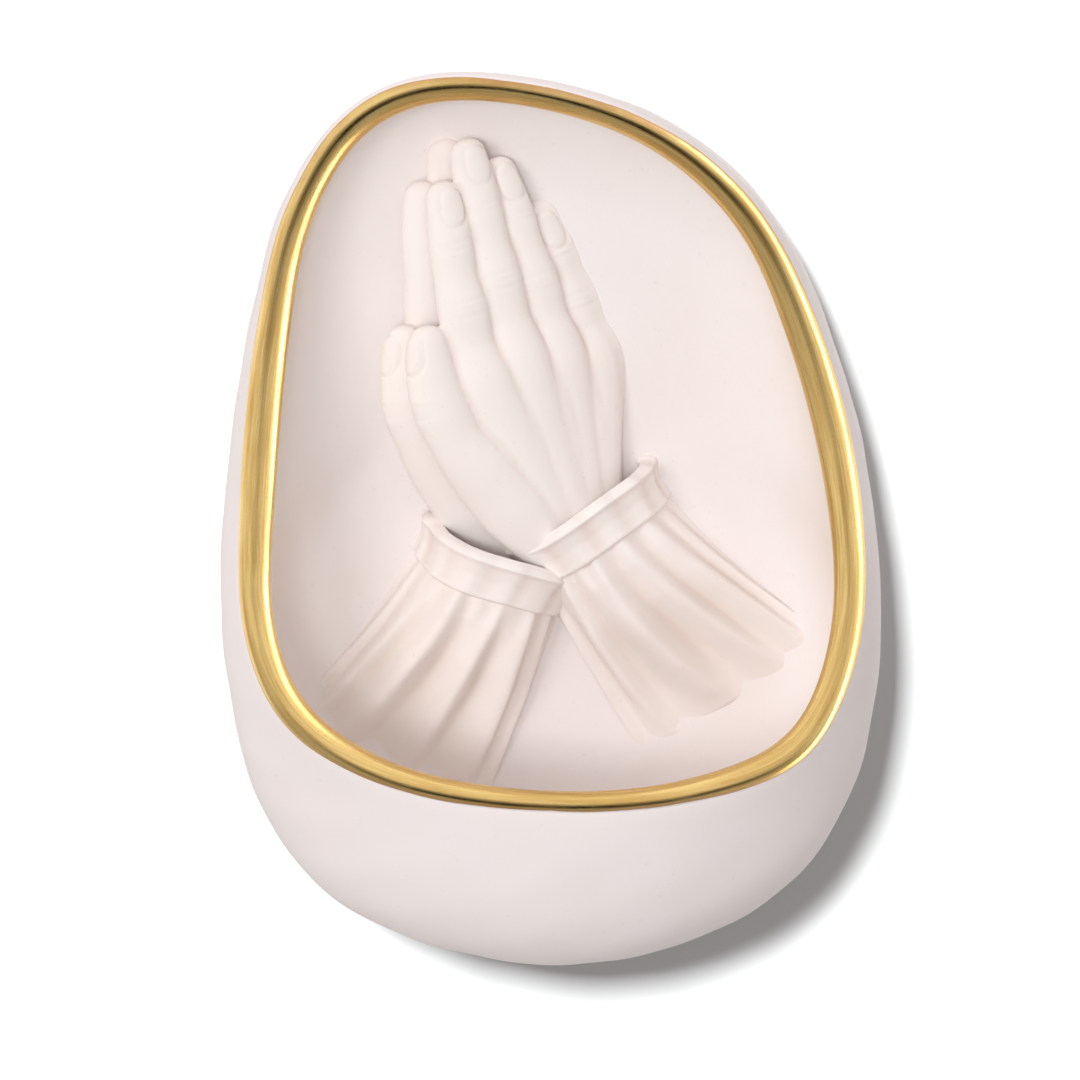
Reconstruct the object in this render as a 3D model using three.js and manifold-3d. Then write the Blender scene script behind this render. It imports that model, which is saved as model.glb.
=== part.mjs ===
// Wall-hung holy water stoup: a hollow porcelain body with an open niche, a water basin at its foot,
// a gilded lip and a relief of joined hands. Millimetres, +Z up, the wall is the plane y = 0 and the
// front faces -Y, so "depth" below is the distance from the wall towards the front.
import * as THREE from 'three';
import { mergeVertices } from 'three/addons/utils/BufferGeometryUtils.js';
import Module from 'manifold-3d';

const wasm = await Module();
wasm.setup();

// Overall size
const BODY_WIDTH = 116;
const BODY_HEIGHT = 159.3;
const BASIN_PROJECTION = 58;
const HOOD_PROJECTION = 22;
const RIM_SWEEP = 1.7;

// Walls and joints
const WALL = 2.9;
const LIP_WALL = { top: 2.3, side: 2.9, bottom: 2.2 };
const LIP_CROWN = { top: 1.7, side: 2.1, bottom: 1.6 };
const GILT = 0.7;
const JOINT_GAP = 0.3;

// Back: plate, hanging room behind the niche, foot of the shell
const BACK_PLATE = 4.5;
const HANG_SPACE = 5.6;
const FOOT_WIDTH = 3;
const FOOT_LEDGE = 3;
const FOOT_THICKNESS = 3.4;

// Keyhole in the back plate
const KEYHOLE_X = -1;
const KEYHOLE_Z = 26;
const KEYHOLE_RADIUS = 5;
const SLOT_WIDTH = 5.5;
const SLOT_RISE = 11;

// Outlines round the origin: share of the half width, share of the height
const BODY_OUTLINE = [
  [-0.324, 0.388], [-0.6, 0.355], [-0.786, 0.27], [-0.897, 0.135], [-0.979, -0.044], [-0.997, -0.2],
  [-0.907, -0.402], [-0.672, -0.521], [0.029, -0.593], [0.681, -0.521], [0.919, -0.402], [1.003, -0.213],
  [0.972, -0.063], [0.845, 0.113], [0.624, 0.264], [0.259, 0.358],
];
const RIM_OUTLINE = [
  [-0.324, 0.4055], [-0.586, 0.37], [-0.769, 0.274], [-0.862, 0.147], [-0.919, -0.039], [-0.903, -0.176],
  [-0.79, -0.26], [-0.509, -0.318], [0.029, -0.3435], [0.483, -0.331], [0.767, -0.29], [0.914, -0.185],
  [0.922, -0.039], [0.802, 0.132], [0.59, 0.274], [0.241, 0.367],
];

// Section of the body at the top, at the sides and at the bottom
const LIP_TILT = { top: 32, side: 8, bottom: 83 };
const BACK_INSET = { top: 6, side: 8, bottom: 10 };
const WIDEST_DEPTH = { top: 11, side: 17, bottom: 20 };
const COVE_REACH = { top: 17, side: 20, bottom: -11 };
const COVE_RUN = { top: 8, side: 9, bottom: 37 };
const LIP_RUN = { top: 1, side: 13, bottom: 30 };
const BELLY_RUN = { top: 0.45, side: 0.45, bottom: 0.55 };

// Relief: joined hands seen from the front left, leaning with the niche
const RELIEF_X = 0;
const RELIEF_Z = -17;
const RELIEF_LEAN = 12;
const RELIEF_TURN = 52;
const RELIEF_FLATTEN = 0.62;
const RELIEF_CUT = -4;
const HAND_LENGTH = 78;
const HAND_BREADTH = 1.15;
const WRIST_RISE = 3;
const ARM_OFFSET = 5;
const ARM_BEND = 6;
const RIGHT_SPREAD = 20;
const LEFT_SPREAD = 34;
const LEFT_DROP = 6;
const CUFF_HALF_WIDTH = 15;
const CUFF_HEIGHT = 9;
const CUFF_RISE = 13.5;
const CUFF_WALL = 2.2;
const CUFF_RECESS = 6;
const SLEEVE_TUCK = 1.8;
const SLEEVE_LENGTH = 38;
const SLEEVE_FLARE = 19;
const SLEEVE_RISE = 14;
const SLEEVE_FOLDS = 9;

// Facets
const AROUND = 64;
const FINGER_SIDES = 10;
const ARM_SIDES = 24;

const PANEL_DEPTH = BACK_PLATE + HANG_SPACE + WALL;
const SEAT_DEPTH = BACK_PLATE + JOINT_GAP;
const FOOT_TOP = SEAT_DEPTH + FOOT_THICKNESS;
const ROUND = 0.5523;

const radians = THREE.MathUtils.degToRad;
const flat = (radius, depth) => new THREE.Vector2(radius, depth);
const angles = Array.from({ length: AROUND }, (_, i) => (i / AROUND) * 2 * Math.PI - Math.PI);

// Radius of a closed outline as a function of the angle round the origin
function polarOutline(points) {
  const corners = points.map(([across, up]) =>
    new THREE.Vector3(across * BODY_WIDTH / 2, 0, up * BODY_HEIGHT));
  const curve = new THREE.CatmullRomCurve3(corners, true, 'centripetal');
  const samples = curve.getPoints(1440).slice(1)
    .map((p) => ({ angle: Math.atan2(p.z, p.x), radius: Math.hypot(p.x, p.z) }))
    .sort((a, b) => a.angle - b.angle);
  return (angle) => {
    const last = samples[samples.length - 1];
    let before = { angle: last.angle - 2 * Math.PI, radius: last.radius };
    for (const after of samples) {
      if (after.angle >= angle) {
        const share = (angle - before.angle) / (after.angle - before.angle);
        return before.radius + share * (after.radius - before.radius);
      }
      before = after;
    }
    return last.radius;
  };
}

const bodyRadius = polarOutline(BODY_OUTLINE);
const rimRadius = polarOutline(RIM_OUTLINE);
const rimHeights = angles.map((angle) => rimRadius(angle) * Math.sin(angle));
const RIM_TOP = Math.max(...rimHeights);
const RIM_LOW = Math.min(...rimHeights);

// Value at an angle, from its values at the top, the sides and the bottom
function around(angle, { top, side, bottom }) {
  const share = Math.sin(angle) ** 2;
  return side * (1 - share) + (Math.sin(angle) > 0 ? top : bottom) * share;
}

function bezier(points, divisions) {
  return new THREE.CubicBezierCurve(...points).getPoints(divisions);
}

// Points moved sideways, to the left of the direction of travel, by a distance that changes on the way
function beside(points, first, last) {
  return points.map((point, i) => {
    const distance = THREE.MathUtils.lerp(first, last, i / (points.length - 1));
    const ahead = points[Math.min(i + 1, points.length - 1)];
    const behind = points[Math.max(i - 1, 0)];
    const travel = ahead.clone().sub(behind).normalize();
    return flat(point.x - travel.y * distance, point.y + travel.x * distance);
  });
}

// Section through the body at one angle, as radius and depth
function section(angle) {
  const widest = flat(bodyRadius(angle), around(angle, WIDEST_DEPTH));
  const back = flat(widest.x - around(angle, BACK_INSET), 0);
  const drop = THREE.MathUtils.clamp(
    (RIM_TOP - rimRadius(angle) * Math.sin(angle)) / (RIM_TOP - RIM_LOW), 0, 1);
  const rimDepth = HOOD_PROJECTION + (BASIN_PROJECTION - HOOD_PROJECTION) * drop ** RIM_SWEEP;
  const lipOuter = flat(rimRadius(angle), rimDepth);
  const tilt = radians(around(angle, LIP_TILT));
  const outward = flat(Math.cos(tilt), Math.sin(tilt));
  const upward = flat(-Math.sin(tilt), Math.cos(tilt));
  const lipWall = around(angle, LIP_WALL);
  const lipHalf = lipWall + JOINT_GAP / 2;
  const crown = around(angle, LIP_CROWN);
  const lipInner = lipOuter.clone().addScaledVector(outward, -2 * lipHalf);

  const outerRun = widest.distanceTo(lipOuter) * around(angle, BELLY_RUN);
  const heel = bezier([
    back,
    flat(back.x + ROUND * (widest.x - back.x), 0),
    flat(widest.x, widest.y * (1 - ROUND)),
    widest,
  ], 5);
  const belly = bezier([
    widest,
    flat(widest.x, widest.y + outerRun),
    lipOuter.clone().addScaledVector(upward, -outerRun),
    lipOuter,
  ], 8);

  const panelEdge = flat(lipInner.x - around(angle, COVE_REACH), PANEL_DEPTH);
  const inside = bezier([
    panelEdge,
    flat(panelEdge.x + around(angle, COVE_RUN), PANEL_DEPTH),
    lipInner.clone().addScaledVector(upward, -around(angle, LIP_RUN)),
    lipInner,
  ], 12);

  const lipMiddle = lipOuter.clone().add(lipInner).multiplyScalar(0.5);
  const onLip = (across, up) =>
    lipMiddle.clone().addScaledVector(outward, across).addScaledVector(upward, up);
  return { heel, belly, inside, back, widest, lipOuter, lipInner, lipWall, lipHalf, crown, upward, onLip };
}

const sections = angles.map(section);

// Half-round over the lip, some way under its surface, from one angle of its round to another
function lipArc({ onLip, lipHalf, crown }, under, from, to, divisions) {
  return Array.from({ length: divisions + 1 }, (_, i) => {
    const turn = from + (to - from) * (i / divisions);
    return onLip((lipHalf - under) * Math.cos(turn), (crown - under) * Math.sin(turn));
  });
}

function inBody(point, angle) {
  return new THREE.Vector3(point.x * Math.cos(angle), -point.y, point.x * Math.sin(angle));
}

// Closed body from positions and triangles, turned so that its faces look out
function solidGeometry(positions, triangles) {
  const geometry = new THREE.BufferGeometry();
  const numbers = positions.flatMap((p) => p.toArray());
  geometry.setAttribute('position', new THREE.Float32BufferAttribute(numbers, 3));
  const volume = triangles.reduce((sum, [a, b, c]) =>
    sum + positions[a].dot(positions[b].clone().cross(positions[c])), 0);
  geometry.setIndex(triangles.flatMap(([a, b, c]) => (volume > 0 ? [a, b, c] : [a, c, b])));
  return geometry;
}

// Ring-shaped solid from one closed loop per angle
function ringSolid(loops) {
  const count = loops[0].length;
  const positions = loops.flatMap((loop, i) => loop.map((point) => inBody(point, angles[i])));
  const triangles = [];
  loops.forEach((_, i) => {
    const next = ((i + 1) % loops.length) * count;
    for (let j = 0; j < count; j += 1) {
      const k = (j + 1) % count;
      triangles.push([i * count + j, i * count + k, next + k], [i * count + j, next + k, next + j]);
    }
  });
  return solidGeometry(positions, triangles);
}

// Solid from one open line per angle, closed at both ends on the axis
function domeSolid(lines, startDepth, endDepth) {
  const count = lines[0].length;
  const positions = lines.flatMap((line, i) => line.map((point) => inBody(point, angles[i])));
  const start = positions.push(new THREE.Vector3(0, -startDepth, 0)) - 1;
  const end = positions.push(new THREE.Vector3(0, -endDepth, 0)) - 1;
  const triangles = [];
  lines.forEach((_, i) => {
    const here = i * count;
    const next = ((i + 1) % lines.length) * count;
    triangles.push([start, here, next], [here + count - 1, end, next + count - 1]);
    for (let j = 0; j < count - 1; j += 1) {
      triangles.push([here + j, here + j + 1, next + j + 1], [here + j, next + j + 1, next + j]);
    }
  });
  return solidGeometry(positions, triangles);
}

// Outer shell: belly and heel outside, a turned-in foot that seats the back plate
const UNDER = GILT + JOINT_GAP;
const seam = (part) => Math.acos(JOINT_GAP / 2 / (part.lipHalf - UNDER));
const plateRadius = (part) => part.back.x - FOOT_WIDTH;
const shellLoops = sections.map((part) => {
  const inside = beside(part.belly, WALL, part.lipWall).reverse();
  const plate = plateRadius(part);
  return [
    flat(plate + JOINT_GAP, 0),
    ...part.heel,
    ...part.belly.slice(1, -1),
    part.lipOuter.clone().addScaledVector(part.upward, -JOINT_GAP),
    part.onLip(part.lipHalf - UNDER, -JOINT_GAP),
    ...lipArc(part, UNDER, 0, seam(part), 2),
    ...inside,
    flat(part.widest.x - WALL - FOOT_WIDTH, FOOT_TOP + 1),
    flat(plate - FOOT_LEDGE, FOOT_TOP),
    flat(plate - FOOT_LEDGE, SEAT_DEPTH),
    flat(plate + JOINT_GAP, SEAT_DEPTH),
  ];
});

// Niche liner: panel, cove and basin wall inside, the same line one wall thickness behind,
// less where the shell is near
function linerBack(part) {
  const outer = [...part.heel, ...part.belly];
  const full = beside(part.inside, -WALL, -part.lipWall);
  return part.inside.map((point, i) => {
    const wall = point.distanceTo(full[i]);
    const room = Math.min(...outer.map((other) => other.distanceTo(point))) - wall - JOINT_GAP;
    return point.clone().lerp(full[i], Math.min(1, room / wall));
  }).reverse();
}

const linerLines = sections.map((part) => [
  ...part.inside.slice(0, -1),
  part.lipInner.clone().addScaledVector(part.upward, -JOINT_GAP),
  part.onLip(UNDER - part.lipHalf, -JOINT_GAP),
  ...lipArc(part, UNDER, Math.PI, Math.PI - seam(part), 2),
  ...linerBack(part),
]);

// Gilded lip: half-round band over the joint of shell and liner
const giltLoops = sections.map((part) => [
  ...lipArc(part, 0, 0, Math.PI, 6),
  ...lipArc(part, GILT, Math.PI, 0, 6),
]);

// Back plate with a keyhole: round entry below, narrow slot above
function backPlate() {
  const outline = new THREE.Shape(sections.map((part, i) =>
    flat(plateRadius(part) * Math.cos(angles[i]), plateRadius(part) * Math.sin(angles[i]))));
  const slotHalf = SLOT_WIDTH / 2;
  const neck = Math.asin(slotHalf / KEYHOLE_RADIUS);
  const keyhole = new THREE.Path();
  keyhole.absarc(KEYHOLE_X, KEYHOLE_Z, KEYHOLE_RADIUS, Math.PI / 2 + neck, Math.PI / 2 - neck, false);
  keyhole.absarc(KEYHOLE_X, KEYHOLE_Z + SLOT_RISE, slotHalf, 0, Math.PI, false);
  keyhole.closePath();
  outline.holes.push(keyhole);
  const slab = new THREE.ExtrudeGeometry(outline, {
    depth: BACK_PLATE,
    bevelEnabled: false,
    curveSegments: 10,
  });
  return slab.rotateX(Math.PI / 2);
}

// Solids for cutting and joining
function toSolid(geometry) {
  const bare = geometry.clone();
  bare.deleteAttribute('normal');
  bare.deleteAttribute('uv');
  const merged = mergeVertices(bare, 1e-4);
  return new wasm.Manifold(new wasm.Mesh({
    numProp: 3,
    vertProperties: Float32Array.from(merged.attributes.position.array),
    triVerts: Uint32Array.from(merged.index.array),
  }));
}

function toGeometry(solid) {
  const bodies = solid.decompose().sort((a, b) => b.volume() - a.volume());
  const mesh = bodies[0].getMesh();
  const geometry = new THREE.BufferGeometry();
  geometry.setAttribute('position', new THREE.Float32BufferAttribute(mesh.vertProperties, 3));
  geometry.setIndex(Array.from(mesh.triVerts));
  return geometry;
}

// Solid through a row of rings, closed with a flat fan at each end
function loft(rings) {
  const count = rings[0].length;
  const positions = rings.flat();
  const triangles = [];
  for (let i = 0; i < rings.length - 1; i += 1) {
    for (let j = 0; j < count; j += 1) {
      const k = (j + 1) % count;
      const here = i * count;
      const next = here + count;
      triangles.push([here + j, here + k, next + k], [here + j, next + k, next + j]);
    }
  }
  [rings[0], rings[rings.length - 1]].forEach((ring, end) => {
    const middle = ring.reduce((sum, p) => sum.add(p), new THREE.Vector3()).divideScalar(count);
    const centre = positions.push(middle) - 1;
    const first = end === 0 ? 0 : (rings.length - 1) * count;
    for (let j = 0; j < count; j += 1) {
      const k = (j + 1) % count;
      triangles.push(end === 0 ? [first + k, first + j, centre] : [first + j, first + k, centre]);
    }
  });
  return toSolid(solidGeometry(positions, triangles));
}

// Point of the relief: across, up and forward on the panel, leaning with the niche
function onPanel(across, up, forward) {
  const lean = radians(RELIEF_LEAN);
  return new THREE.Vector3(
    RELIEF_X + across * Math.cos(lean) - up * Math.sin(lean),
    -(PANEL_DEPTH + forward),
    RELIEF_Z + across * Math.sin(lean) + up * Math.cos(lean),
  );
}

// Point of a hand: towards the thumb, up the fingers and away from the other palm. The joints below
// are for a hand of 78 from wrist to fingertip
const HAND_SCALE = HAND_LENGTH / 78;
function onHand(toThumb, up, fromPalm) {
  const turn = radians(RELIEF_TURN);
  const breadth = toThumb * HAND_BREADTH * HAND_SCALE;
  const away = fromPalm * HAND_SCALE;
  const across = away * Math.cos(turn) - breadth * Math.sin(turn);
  const forward = away * Math.sin(turn) + breadth * Math.cos(turn);
  return onPanel(across, up * HAND_SCALE, (forward - RELIEF_CUT) * RELIEF_FLATTEN);
}

// Level rings through the joints of a finger or a palm: each joint has a place and two half sizes
function limb(joints, side, grow, roundTip) {
  const places = new THREE.CatmullRomCurve3(
    joints.map(({ thumb, up, palm }) => new THREE.Vector3(thumb, up, palm)));
  const sizes = new THREE.CatmullRomCurve3(
    joints.map(({ wide, thick = wide }) => new THREE.Vector3(wide, thick, 0)));
  const steps = (joints.length - 1) * 2;
  const stations = Array.from({ length: steps + 1 }, (_, i) => ({
    place: places.getPoint(i / steps),
    wide: sizes.getPoint(i / steps).x,
    thick: sizes.getPoint(i / steps).y,
  }));
  const tip = stations[steps];
  if (roundTip) {
    [[0.5, 0.84], [0.85, 0.48]].forEach(([rise, share]) => stations.push({
      place: tip.place.clone().setY(tip.place.y + rise * tip.wide),
      wide: tip.wide * share,
      thick: tip.thick * share,
    }));
  }
  return loft(stations.map(({ place, wide, thick }) => Array.from({ length: FINGER_SIDES }, (_, i) => {
    const turn = (i / FINGER_SIDES) * 2 * Math.PI;
    return onHand(
      place.x + (wide + grow) * Math.cos(turn),
      place.y,
      side * (place.z + (thick + grow) * Math.sin(turn)),
    );
  })));
}

const FINGERS = {
  index: [
    { thumb: 10.5, up: 30, palm: 5.4, wide: 4.3 }, { thumb: 10.2, up: 43, palm: 4.6, wide: 3.7 },
    { thumb: 9.4, up: 51, palm: 4.2, wide: 3.7 }, { thumb: 8.4, up: 59, palm: 3.6, wide: 3.2 },
    { thumb: 7.4, up: 65.5, palm: 3.1, wide: 2.8 },
  ],
  middle: [
    { thumb: 3.4, up: 31, palm: 5.8, wide: 4.4 }, { thumb: 3.3, up: 45, palm: 4.9, wide: 3.8 },
    { thumb: 2.9, up: 54, palm: 4.4, wide: 3.8 }, { thumb: 2.4, up: 63, palm: 3.7, wide: 3.3 },
    { thumb: 2.0, up: 70, palm: 3.2, wide: 2.9 },
  ],
  ring: [
    { thumb: -3.8, up: 30, palm: 5.6, wide: 4.2 }, { thumb: -3.6, up: 43, palm: 4.7, wide: 3.7 },
    { thumb: -3.4, up: 51, palm: 4.2, wide: 3.6 }, { thumb: -3.1, up: 59, palm: 3.6, wide: 3.1 },
    { thumb: -2.9, up: 65.5, palm: 3.1, wide: 2.7 },
  ],
  little: [
    { thumb: -10.6, up: 27, palm: 5.0, wide: 3.9 }, { thumb: -10.2, up: 37, palm: 4.2, wide: 3.3 },
    { thumb: -9.5, up: 43.5, palm: 3.7, wide: 3.2 }, { thumb: -8.7, up: 50, palm: 3.2, wide: 2.8 },
    { thumb: -8.0, up: 55.5, palm: 2.8, wide: 2.4 },
  ],
  thumb: [
    { thumb: 9, up: 3, palm: 6, wide: 5.6 }, { thumb: 14.6, up: 14, palm: 5.2, wide: 5.2 },
    { thumb: 17.4, up: 24, palm: 4.4, wide: 4.5 }, { thumb: 17.6, up: 32, palm: 4, wide: 4.2 },
    { thumb: 16.4, up: 40, palm: 3.5, wide: 3.2 },
  ],
};
const PALM = [
  { thumb: 1, up: -14, palm: 6.2, wide: 8.4, thick: 5.6 },
  { thumb: 1, up: -5, palm: 6.2, wide: 8.6, thick: 5.6 },
  { thumb: 1, up: 4, palm: 6.2, wide: 9.2, thick: 5.8 },
  { thumb: 0.4, up: 15, palm: 6.2, wide: 13.4, thick: 6 },
  { thumb: 0, up: 25, palm: 5.8, wide: 14.8, thick: 5.4 },
  { thumb: 0, up: 32, palm: 5.2, wide: 14.2, thick: 4.6 },
  { thumb: 0, up: 37, palm: 4.6, wide: 12.8, thick: 3.2 },
];

function handSolid(side, grow) {
  const fingers = Object.values(FINGERS).map((joints) => limb(joints, side, grow, true));
  return wasm.Manifold.union([limb(PALM, side, grow, false), ...fingers]);
}

// Each arm: which way it lies, how far it spreads and how far down its wrist the cuff sits
const RIGHT = { side: 1, spread: RIGHT_SPREAD, drop: 0 };
const LEFT = { side: -1, spread: LEFT_SPREAD, drop: LEFT_DROP };

// Rings across a forearm, which runs down from the wrist and bends outwards
function forearm({ side, spread, drop }, stations, grow) {
  const ahead = flat(side * Math.sin(radians(spread)), -Math.cos(radians(spread)));
  const across = flat(-ahead.y, ahead.x);
  return loft(stations.map(({ along, half, rise, folds = 0 }) => {
    const bend = ARM_BEND * (along / (CUFF_HEIGHT + SLEEVE_LENGTH)) ** 2;
    const middle = flat(side * (ARM_OFFSET + bend), WRIST_RISE).addScaledVector(ahead, along + drop);
    return Array.from({ length: ARM_SIDES }, (_, i) => {
      const turn = (i / ARM_SIDES) * 2 * Math.PI;
      const ripple = 1 + folds * Math.cos(SLEEVE_FOLDS * turn + 2 * (along / SLEEVE_LENGTH));
      const reach = (half * ripple + grow) * Math.cos(turn);
      const forward = (rise * ripple + grow) * Math.sin(turn);
      return onPanel(middle.x + across.x * reach, middle.y + across.y * reach, forward);
    });
  }));
}

// Cuff: a thick hem that opens towards the hand, with the wrist standing free in its mouth.
// Each row is a share of the height and of the size
const CUFF_HEM = [[0, 1], [0.14, 1.06], [0.5, 1], [0.86, 0.98], [1, 0.92]];
function cuffSolid(arm, grow) {
  const hem = CUFF_HEM.map(([share, size]) => ({
    along: share * CUFF_HEIGHT + (share - 0.5) * 2 * grow,
    half: CUFF_HALF_WIDTH * size,
    rise: CUFF_RISE * size,
  }));
  const mouth = [-2, CUFF_RECESS - grow].map((along) => ({
    along,
    half: CUFF_HALF_WIDTH - CUFF_WALL - grow,
    rise: CUFF_RISE - CUFF_WALL - grow,
  }));
  return forearm(arm, hem, grow).subtract(forearm(arm, mouth, 0));
}

// Sleeve: flares from under the cuff and sinks into the panel. Each row is a share of the length,
// of the flare and of the rise, and the depth of the folds
const SLEEVE_ROWS = [
  [0, 0.68, 0.82, 0.03], [0.15, 0.73, 0.85, 0.05], [0.35, 0.79, 0.83, 0.08], [0.55, 0.86, 0.7, 0.09],
  [0.75, 0.92, 0.46, 0.09], [0.9, 0.96, 0.22, 0.06], [1, 0.98, 0.03, 0.02],
];
function sleeveSolid(arm, grow) {
  return forearm(arm, SLEEVE_ROWS.map(([share, flare, rise, folds]) => ({
    along: CUFF_HEIGHT - SLEEVE_TUCK + share * SLEEVE_LENGTH,
    half: SLEEVE_FLARE * flare,
    rise: SLEEVE_RISE * rise,
    folds,
  })), grow);
}

const reliefBlock = toSolid(new THREE.BoxGeometry(BODY_WIDTH, BODY_WIDTH, BODY_HEIGHT)
  .translate(0, -(PANEL_DEPTH + JOINT_GAP + BODY_WIDTH / 2), 0));

const linerGeometry = domeSolid(linerLines, PANEL_DEPTH, PANEL_DEPTH - WALL);
const linerBed = toSolid(linerGeometry.clone().translate(0, -JOINT_GAP, 0));

// Relief piece: the wanted solid bedded on the liner, less the pieces that lie over it
function reliefPiece(wanted, above) {
  const bedded = wanted.intersect(reliefBlock).subtract(linerBed);
  return toGeometry(above.reduce((rest, cutter) => rest.subtract(cutter), bedded));
}

const grownCuffs = [cuffSolid(RIGHT, JOINT_GAP), cuffSolid(LEFT, JOINT_GAP)];
const grownRightHand = handSolid(RIGHT.side, JOINT_GAP);
const grownRightSleeve = sleeveSolid(RIGHT, JOINT_GAP);
const grownLeftSleeve = sleeveSolid(LEFT, JOINT_GAP);
const rightHand = handSolid(RIGHT.side, 0);
const leftHand = handSolid(LEFT.side, 0);
const rightArm = [grownRightHand, grownCuffs[0], grownRightSleeve];

const porcelain = new THREE.MeshStandardMaterial({ color: 0xf0e6e0, roughness: 0.7 });
const gold = new THREE.MeshStandardMaterial({ color: 0xd6a84e, roughness: 0.25, metalness: 1 });
const group = new THREE.Group();

function addPiece(name, geometry, material) {
  const mesh = new THREE.Mesh(geometry, material);
  mesh.name = name;
  group.add(mesh);
}

addPiece('outer_shell', ringSolid(shellLoops), porcelain);
addPiece('niche_liner', linerGeometry, porcelain);
addPiece('back_plate', backPlate(), porcelain);
addPiece('gilt_rim', ringSolid(giltLoops), gold);
addPiece('right_cuff', reliefPiece(cuffSolid(RIGHT, 0), []), porcelain);
addPiece('right_sleeve', reliefPiece(sleeveSolid(RIGHT, 0), [grownCuffs[0]]), porcelain);
addPiece('right_hand', reliefPiece(rightHand, [grownCuffs[0], grownRightSleeve]), porcelain);
addPiece('left_cuff', reliefPiece(cuffSolid(LEFT, 0), rightArm), porcelain);
addPiece('left_sleeve', reliefPiece(sleeveSolid(LEFT, 0), [grownCuffs[1], ...rightArm]), porcelain);
addPiece('left_hand', reliefPiece(leftHand, [grownCuffs[1], grownLeftSleeve, ...rightArm]), porcelain);

export default group;
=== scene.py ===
# Wall-hung holy water stoup in unglazed porcelain, with a gilded lip and joined hands in relief.
# Metres, +Z up, the wall is the plane y = 0 and the front faces -Y. The object's own lengths are in
# millimetres and take the factor MM.
import math

import bpy
import numpy as np
from mathutils import Matrix, Vector


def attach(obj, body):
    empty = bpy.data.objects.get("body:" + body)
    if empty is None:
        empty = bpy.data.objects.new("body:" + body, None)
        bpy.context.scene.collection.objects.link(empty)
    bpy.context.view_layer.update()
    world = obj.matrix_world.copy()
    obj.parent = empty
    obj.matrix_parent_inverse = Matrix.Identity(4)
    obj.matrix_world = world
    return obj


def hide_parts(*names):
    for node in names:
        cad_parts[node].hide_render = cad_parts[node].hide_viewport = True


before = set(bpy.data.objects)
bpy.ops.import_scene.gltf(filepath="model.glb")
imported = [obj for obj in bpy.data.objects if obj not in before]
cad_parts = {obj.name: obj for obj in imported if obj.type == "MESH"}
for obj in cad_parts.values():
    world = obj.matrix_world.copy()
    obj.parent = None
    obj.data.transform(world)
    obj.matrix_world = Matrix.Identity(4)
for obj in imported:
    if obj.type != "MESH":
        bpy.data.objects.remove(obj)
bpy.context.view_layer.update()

MM = 0.001
LEFT = -1
RIGHT = 1


# Working by hand: selecting, editing, modifiers
def only(piece):
    bpy.ops.object.select_all(action="DESELECT")
    piece.select_set(True)
    bpy.context.view_layer.objects.active = piece


def in_edit(operator, **settings):
    bpy.ops.object.mode_set(mode="EDIT")
    operator(**settings)
    bpy.ops.object.mode_set(mode="OBJECT")


def choose(piece, kind, wanted):
    """Selects the piece's points, edges or faces whose numbers are wanted, and nothing else"""
    only(piece)
    bpy.ops.object.mode_set(mode="EDIT")
    bpy.ops.mesh.select_mode(type=kind)
    bpy.ops.mesh.select_all(action="DESELECT")
    bpy.ops.object.mode_set(mode="OBJECT")
    rows = {"VERT": piece.data.vertices, "EDGE": piece.data.edges, "FACE": piece.data.polygons}[kind]
    for index in wanted:
        rows[int(index)].select = True


def choose_all(piece):
    only(piece)
    in_edit(bpy.ops.mesh.select_all, action="SELECT")


def modify(piece, kind, **settings):
    only(piece)
    modifier = piece.modifiers.new(kind.title(), kind)
    for name, value in settings.items():
        setattr(modifier, name, value)
    bpy.ops.object.modifier_apply(modifier=modifier.name)


def subdivide(piece, levels):
    modify(piece, "SUBSURF", levels=levels, render_levels=levels)


def soften(piece, factor, iterations):
    modify(piece, "SMOOTH", factor=factor, iterations=iterations)


def outwards(piece):
    choose_all(piece)
    in_edit(bpy.ops.mesh.normals_make_consistent, inside=False)


# A piece's points, their normals, and values that are noted on its points for its finish
def points_of(piece):
    places = np.empty(len(piece.data.vertices) * 3)
    piece.data.vertices.foreach_get("co", places)
    return places.reshape(-1, 3)


def normals_of(piece):
    normals = np.empty(len(piece.data.vertices) * 3)
    piece.data.vertex_normals.foreach_get("vector", normals)
    return normals.reshape(-1, 3)


def move_points(piece, places):
    piece.data.vertices.foreach_set("co", np.asarray(places, dtype=float).ravel())
    piece.data.update()


def note(piece, name, values):
    layer = piece.data.attributes.get(name) or piece.data.attributes.new(name, "FLOAT", "POINT")
    layer.data.foreach_set("value", np.asarray(values, dtype=float))


def noted(piece, name):
    values = np.empty(len(piece.data.vertices))
    piece.data.attributes[name].data.foreach_get("value", values)
    return values


def bell(distance, width):
    return np.exp(-(distance / width) ** 2)


# Copy of a node of the frame, with its corners merged and its quads restored
def cast_from(node, name):
    piece = bpy.data.objects.new(name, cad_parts[node].data.copy())
    bpy.context.scene.collection.objects.link(piece)
    only(piece)
    bpy.ops.mesh.customdata_custom_splitnormals_clear()
    choose_all(piece)
    in_edit(bpy.ops.mesh.remove_doubles, threshold=0.002 * MM)
    in_edit(bpy.ops.mesh.tris_convert_to_quads, face_threshold=math.pi, shape_threshold=math.pi)
    piece.data.materials.clear()
    return piece


def finish_piece(piece, node, finish):
    only(piece)
    bpy.ops.object.shade_smooth()
    piece.data.materials.append(finish)
    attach(piece, "root")
    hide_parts(node)


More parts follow.
